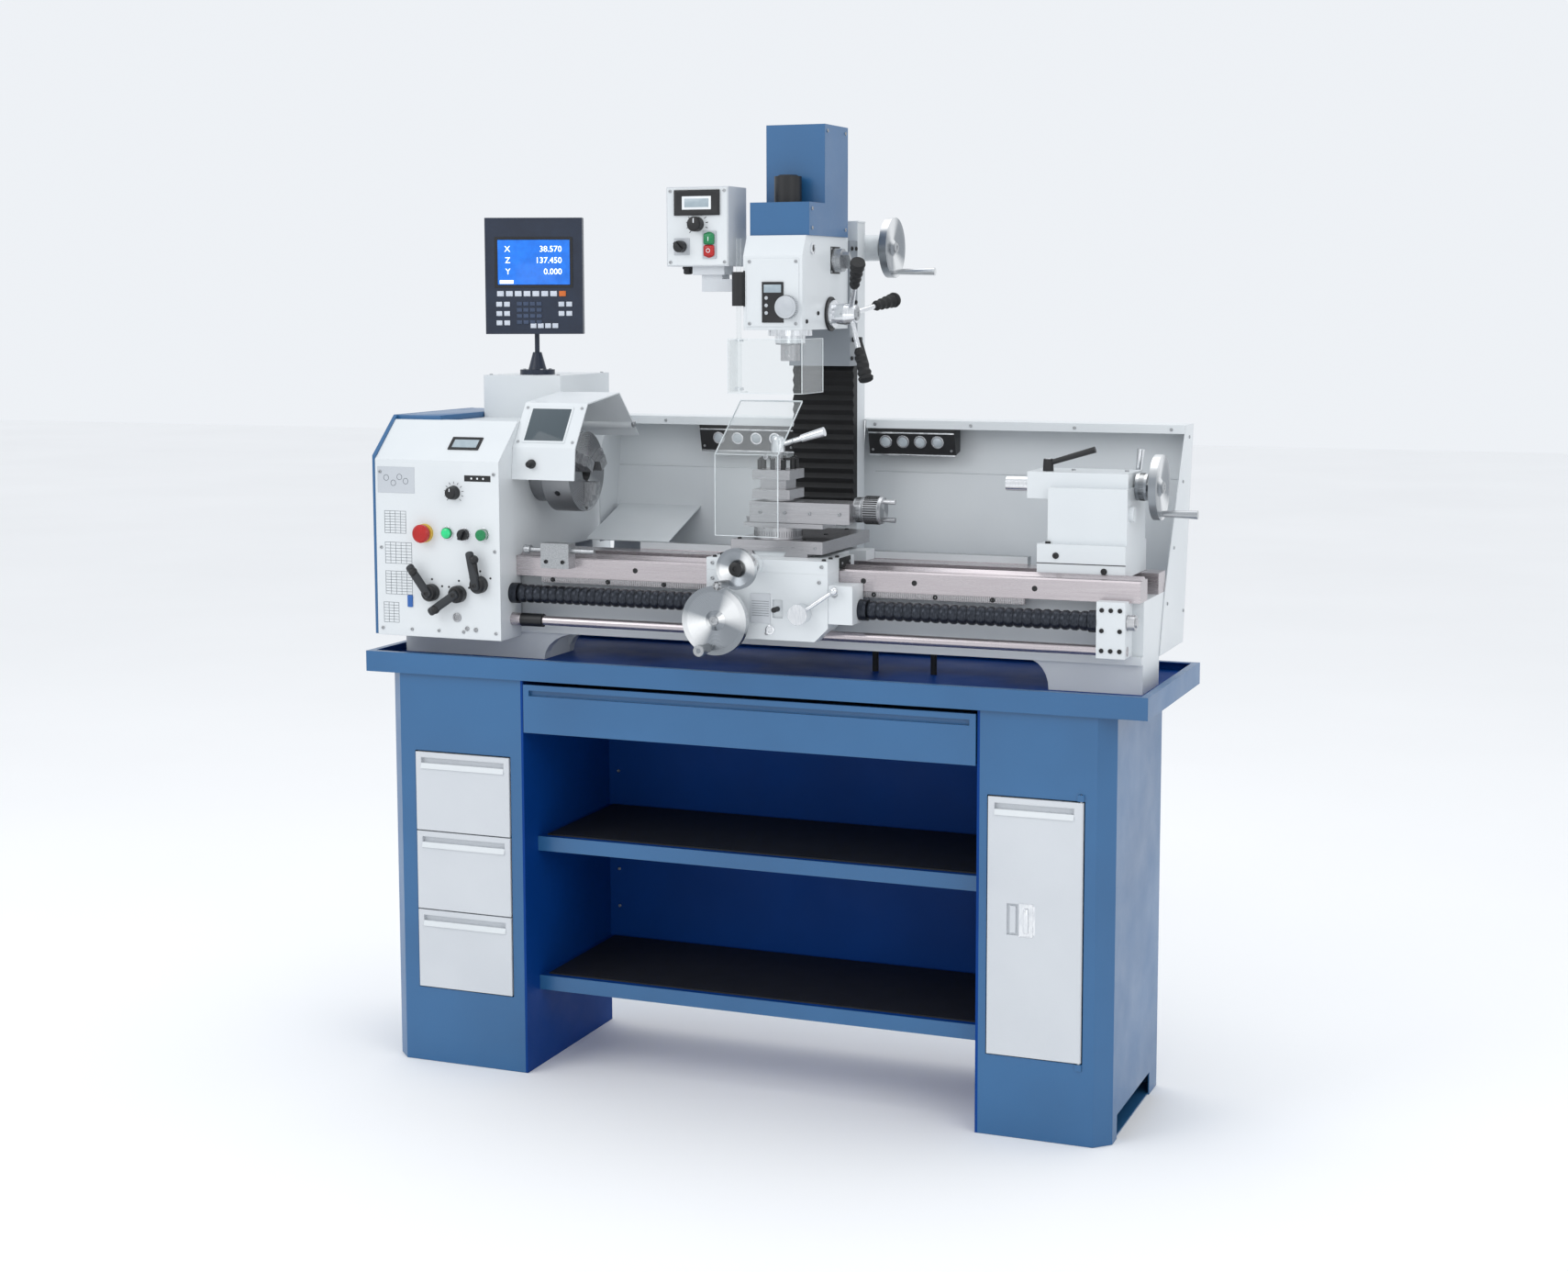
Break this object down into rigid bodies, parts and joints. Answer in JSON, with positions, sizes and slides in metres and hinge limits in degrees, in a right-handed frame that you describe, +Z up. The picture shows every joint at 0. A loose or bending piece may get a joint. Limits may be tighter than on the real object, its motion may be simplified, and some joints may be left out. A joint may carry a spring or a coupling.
{
  "type": "combination lathe mill",
  "caption": "Bench lathe with a milling column behind its bed, on a steel cabinet stand with drawers, cupboard and chip tray.",
  "frame": {"origin": "on the floor, below the middle of the whole machine's outline", "axes": "+X along the bed from headstock to tailstock, -Y towards the operator, +Z up"},
  "size_m": [1.6254, 0.65, 1.857],
  "materials": {
    "blue_enamel": "satin",
    "white_enamel": "satin",
    "pale_enamel": "satin",
    "ground_steel": "brushed",
    "bright_metal": "polished",
    "black_plastic": "matt",
    "black_rubber": "matt",
    "clear_panel": "clear",
    "display_blue": "satin",
    "red_plastic": "gloss",
    "green_plastic": "gloss",
    "white_casting": "painted"
  },
  "bodies": {
    "machine_frame": {"left_pedestal": "blue_enamel", "right_pedestal": "blue_enamel", "chip_tray": "blue_enamel", "shelf_unit": "blue_enamel", "lathe_bed": "white_casting", "headstock": "white_casting", "control_panel": "white_enamel", "splash_guard": "white_enamel", "mill_column": "white_casting", "column_bellows": "black_rubber", "screw_cover_left": "black_rubber", "screw_cover_right": "black_rubber"},
    "wide_drawer": {"wide_drawer": "blue_enamel"},
    "small_drawer_1": {"small_drawer_1": "pale_enamel"},
    "small_drawer_2": {"small_drawer_2": "pale_enamel"},
    "small_drawer_3": {"small_drawer_3": "pale_enamel"},
    "cabinet_door": {"cabinet_door": "pale_enamel"},
    "end_cover": {"end_cover": "blue_enamel"},
    "emergency_stop": {"emergency_stop": "red_plastic"},
    "start_button": {"start_button": "green_plastic"},
    "speed_knob": {"speed_knob": "black_plastic"},
    "gear_lever_1": {"gear_lever_1": "black_plastic"},
    "gear_lever_2": {"gear_lever_2": "black_plastic"},
    "gear_lever_3": {"gear_lever_3": "black_plastic"},
    "display_unit": {"display_unit": "display_blue"},
    "lathe_spindle": {"lathe_spindle": "ground_steel"},
    "chuck_jaw_1": {"chuck_jaw_1": "ground_steel"},
    "chuck_jaw_2": {"chuck_jaw_2": "ground_steel"},
    "chuck_jaw_3": {"chuck_jaw_3": "ground_steel"},
    "chuck_guard": {"chuck_guard": "white_enamel"},
    "leadscrew": {"leadscrew": "ground_steel"},
    "feed_rod": {"feed_rod": "ground_steel"},
    "carriage": {"carriage_saddle": "white_casting", "apron": "white_casting"},
    "carriage_handwheel": {"carriage_handwheel": "bright_metal"},
    "feed_lever": {"feed_lever": "bright_metal"},
    "cross_slide": {"cross_slide": "ground_steel"},
    "cross_handwheel": {"cross_handwheel": "bright_metal"},
    "swivel_base": {"swivel_base": "ground_steel"},
    "top_slide": {"top_slide": "ground_steel"},
    "top_slide_handwheel": {"top_slide_handwheel": "bright_metal"},
    "tool_post": {"tool_post": "ground_steel"},
    "tool_post_lever": {"tool_post_lever": "bright_metal"},
    "chip_shield": {"chip_shield": "clear_panel"},
    "tailstock": {"tailstock_body": "white_casting"},
    "tailstock_quill": {"tailstock_quill": "bright_metal"},
    "tailstock_handwheel": {"tailstock_handwheel": "bright_metal"},
    "quill_lock_lever": {"quill_lock_lever": "black_plastic"},
    "tailstock_clamp_lever": {"tailstock_clamp_lever": "ground_steel"},
    "head_slide": {"head_slide": "ground_steel"},
    "height_handwheel": {"height_handwheel": "bright_metal"},
    "mill_head": {"mill_head": "white_casting", "motor_cover": "blue_enamel", "control_box": "pale_enamel"},
    "milling_quill": {"milling_quill": "bright_metal"},
    "quill_feed_handle": {"quill_feed_handle": "bright_metal"},
    "milling_spindle": {"milling_spindle": "ground_steel"},
    "range_knob": {"range_knob": "bright_metal"},
    "fine_feed_knob": {"fine_feed_knob": "bright_metal"},
    "mill_guard": {"mill_guard": "clear_panel"}
  },
  "joints": [
    {"name": "wide_drawer_slide", "type": "slide", "parent": "machine_frame", "child": "wide_drawer", "axis": [0, -1, 0], "range_m": [0, 0.25]},
    {"name": "small_drawer_1_slide", "type": "slide", "parent": "machine_frame", "child": "small_drawer_1", "axis": [0, -1, 0], "range_m": [0, 0.25]},
    {"name": "small_drawer_2_slide", "type": "slide", "parent": "machine_frame", "child": "small_drawer_2", "axis": [0, -1, 0], "range_m": [0, 0.25]},
    {"name": "small_drawer_3_slide", "type": "slide", "parent": "machine_frame", "child": "small_drawer_3", "axis": [0, -1, 0], "range_m": [0, 0.25]},
    {"name": "door_hinge", "type": "hinge", "parent": "machine_frame", "child": "cabinet_door", "pos_m": [0.65175, -0.203, 0.154], "axis": [0, 0, 1], "range_deg": [0, 110]},
    {"name": "end_cover_hinge", "type": "hinge", "parent": "machine_frame", "child": "end_cover", "pos_m": [-0.69625, 0.2203, 0.862], "axis": [0, 0, 1], "range_deg": [-90, 0]},
    {"name": "emergency_stop_push", "type": "slide", "parent": "machine_frame", "child": "emergency_stop", "axis": [0, 1, 0], "range_m": [0, 0.005]},
    {"name": "start_button_push", "type": "slide", "parent": "machine_frame", "child": "start_button", "axis": [0, 1, 0], "range_m": [0, 0.004], "stiffness_N_per_m": 400},
    {"name": "speed_knob_turn", "type": "hinge", "parent": "machine_frame", "child": "speed_knob", "pos_m": [-0.61925, -0.193, 1.15087], "axis": [0, 1, 0], "range_deg": [-150, 150]},
    {"name": "gear_lever_1_turn", "type": "hinge", "parent": "machine_frame", "child": "gear_lever_1", "pos_m": [-0.6716, -0.193, 0.95186], "axis": [0, 1, 0], "range_deg": [-25, 25]},
    {"name": "gear_lever_2_turn", "type": "hinge", "parent": "machine_frame", "child": "gear_lever_2", "pos_m": [-0.61121, -0.193, 0.95115], "axis": [0, 1, 0], "range_deg": [-60, 0]},
    {"name": "gear_lever_3_turn", "type": "hinge", "parent": "machine_frame", "child": "gear_lever_3", "pos_m": [-0.56329, -0.193, 0.97186], "axis": [0, 1, 0], "range_deg": [-25, 25]},
    {"name": "display_swivel", "type": "hinge", "parent": "machine_frame", "child": "display_unit", "pos_m": [-0.60775, 0.145, 1.456], "axis": [0, 0, 1], "range_deg": [-40, 40]},
    {"name": "lathe_spindle_spin", "type": "hinge", "parent": "machine_frame", "child": "lathe_spindle", "pos_m": [-0.51925, -0.01, 1.185], "axis": [1, 0, 0], "continuous": true},
    {"name": "chuck_jaw_1_slide", "type": "slide", "parent": "lathe_spindle", "child": "chuck_jaw_1", "axis": [0, 0, -1], "range_m": [-0.012, 0.01]},
    {"name": "chuck_jaw_2_slide", "type": "slide", "parent": "lathe_spindle", "child": "chuck_jaw_2", "axis": [0, 0.866, 0.5], "range_m": [-0.012, 0.01]},
    {"name": "chuck_jaw_3_slide", "type": "slide", "parent": "lathe_spindle", "child": "chuck_jaw_3", "axis": [0, -0.866, 0.5], "range_m": [-0.012, 0.01]},
    {"name": "chuck_guard_swing", "type": "hinge", "parent": "machine_frame", "child": "chuck_guard", "pos_m": [-0.51925, 0.134, 1.273], "axis": [-1, 0, 0], "range_deg": [0, 60]},
    {"name": "leadscrew_spin", "type": "hinge", "parent": "machine_frame", "child": "leadscrew", "pos_m": [-0.51925, -0.143, 0.952], "axis": [1, 0, 0], "continuous": true},
    {"name": "feed_rod_spin", "type": "hinge", "parent": "machine_frame", "child": "feed_rod", "pos_m": [-0.51925, -0.143, 0.9], "axis": [1, 0, 0], "continuous": true},
    {"name": "carriage_slide", "type": "slide", "parent": "machine_frame", "child": "carriage", "axis": [1, 0, 0], "range_m": [-0.2, 0.2], "deforming": ["screw_cover_left", "screw_cover_right"]},
    {"name": "carriage_wheel_turn", "type": "hinge", "parent": "carriage", "child": "carriage_handwheel", "pos_m": [-0.04825, -0.187, 0.93], "axis": [0, 1, 0], "range_deg": [-3001, 3001]},
    {"name": "feed_lever_turn", "type": "hinge", "parent": "carriage", "child": "feed_lever", "pos_m": [0.11075, -0.187, 0.946], "axis": [0, 1, 0], "range_deg": [-25, 25]},
    {"name": "cross_slide_travel", "type": "slide", "parent": "carriage", "child": "cross_slide", "axis": [0, 1, 0], "range_m": [-0.055, 0.037]},
    {"name": "cross_wheel_turn", "type": "hinge", "parent": "carriage", "child": "cross_handwheel", "pos_m": [0.01275, -0.187, 1.034], "axis": [0, 1, 0], "range_deg": [-4951, 3331]},
    {"name": "top_slide_swivel", "type": "hinge", "parent": "cross_slide", "child": "swivel_base", "pos_m": [0.02175, -0.082, 1.074], "axis": [0, 0, 1], "range_deg": [-45, 45]},
    {"name": "top_slide_travel", "type": "slide", "parent": "swivel_base", "child": "top_slide", "axis": [1, 0, 0], "range_m": [-0.05, 0.02]},
    {"name": "top_wheel_turn", "type": "hinge", "parent": "top_slide", "child": "top_slide_handwheel", "pos_m": [0.17975, -0.082, 1.133], "axis": [1, 0, 0], "range_deg": [-9001, 3601]},
    {"name": "tool_post_turn", "type": "hinge", "parent": "top_slide", "child": "tool_post", "pos_m": [0.02175, -0.082, 1.146], "axis": [0, 0, 1], "range_deg": [0, 90]},
    {"name": "tool_post_lever_turn", "type": "hinge", "parent": "top_slide", "child": "tool_post_lever", "pos_m": [0.02175, -0.082, 1.146], "axis": [0, 0, 1], "range_deg": [-30, 30]},
    {"name": "chip_shield_turn", "type": "hinge", "parent": "top_slide", "child": "chip_shield", "pos_m": [0.02175, -0.082, 1.146], "axis": [0, 0, 1], "range_deg": [0, 25]},
    {"name": "tailstock_travel", "type": "slide", "parent": "machine_frame", "child": "tailstock", "axis": [1, 0, 0], "range_m": [-0.11, 0.025]},
    {"name": "tail_quill_travel", "type": "slide", "parent": "tailstock", "child": "tailstock_quill", "axis": [1, 0, 0], "range_m": [-0.08, 0]},
    {"name": "tail_wheel_turn", "type": "hinge", "parent": "tailstock", "child": "tailstock_handwheel", "pos_m": [0.69925, -0.01, 1.185], "axis": [1, 0, 0], "range_deg": [-7200, 0]},
    {"name": "quill_lock_turn", "type": "hinge", "parent": "tailstock", "child": "quill_lock_lever", "pos_m": [0.53975, -0.04, 1.212], "axis": [0, 0, 1], "range_deg": [-60, 30]},
    {"name": "tail_clamp_turn", "type": "hinge", "parent": "tailstock", "child": "tailstock_clamp_lever", "pos_m": [0.67475, 0.069, 1.132], "axis": [0, 1, 0], "range_deg": [-45, 20]},
    {"name": "head_travel", "type": "slide", "parent": "machine_frame", "child": "head_slide", "axis": [0, 0, 1], "range_m": [-0.008, 0.15], "deforming": ["column_bellows"]},
    {"name": "height_wheel_turn", "type": "hinge", "parent": "machine_frame", "child": "height_handwheel", "pos_m": [0.12175, 0.265, 1.628], "axis": [-1, 0, 0], "range_deg": [-1441, 27001]},
    {"name": "mill_head_tilt", "type": "hinge", "parent": "head_slide", "child": "mill_head", "pos_m": [0.02075, 0.141, 1.53], "axis": [0, 1, 0], "range_deg": [-30, 30]},
    {"name": "mill_quill_travel", "type": "slide", "parent": "mill_head", "child": "milling_quill", "axis": [0, 0, 1], "range_m": [-0.07, 0]},
    {"name": "quill_handle_turn", "type": "hinge", "parent": "mill_head", "child": "quill_feed_handle", "pos_m": [0.08075, 0.043, 1.498], "axis": [1, 0, 0], "range_deg": [0, 420]},
    {"name": "milling_spindle_spin", "type": "hinge", "parent": "milling_quill", "child": "milling_spindle", "pos_m": [0.02075, -0.015, 1.469], "axis": [0, 0, 1], "continuous": true},
    {"name": "range_knob_turn", "type": "hinge", "parent": "mill_head", "child": "range_knob", "pos_m": [0.08075, 0.07, 1.601], "axis": [1, 0, 0], "range_deg": [-60, 60]},
    {"name": "fine_feed_turn", "type": "hinge", "parent": "mill_head", "child": "fine_feed_knob", "pos_m": [0.05175, -0.105, 1.512], "axis": [0, 1, 0], "continuous": true},
    {"name": "mill_guard_swing", "type": "hinge", "parent": "mill_head", "child": "mill_guard", "pos_m": [-0.04925, -0.103, 1.469], "axis": [0, 0, 1], "range_deg": [-100, 0]}
  ],
  "couplings": [
    {"joint": "chuck_jaw_2_slide", "follows": "chuck_jaw_1_slide", "ratio": 1},
    {"joint": "chuck_jaw_3_slide", "follows": "chuck_jaw_1_slide", "ratio": 1},
    {"joint": "feed_rod_spin", "follows": "leadscrew_spin", "ratio": 1},
    {"joint": "carriage_wheel_turn", "follows": "carriage_slide", "rad_per_m": 261.8},
    {"joint": "cross_wheel_turn", "follows": "cross_slide_travel", "rad_per_m": 1570.8},
    {"joint": "top_wheel_turn", "follows": "top_slide_travel", "rad_per_m": 3141.6},
    {"joint": "tail_quill_travel", "follows": "tail_wheel_turn", "m_per_rad": 0.00063662},
    {"joint": "height_wheel_turn", "follows": "head_travel", "rad_per_m": 3141.6},
    {"joint": "mill_quill_travel", "follows": "quill_handle_turn", "m_per_rad": -0.009549}
  ]
}
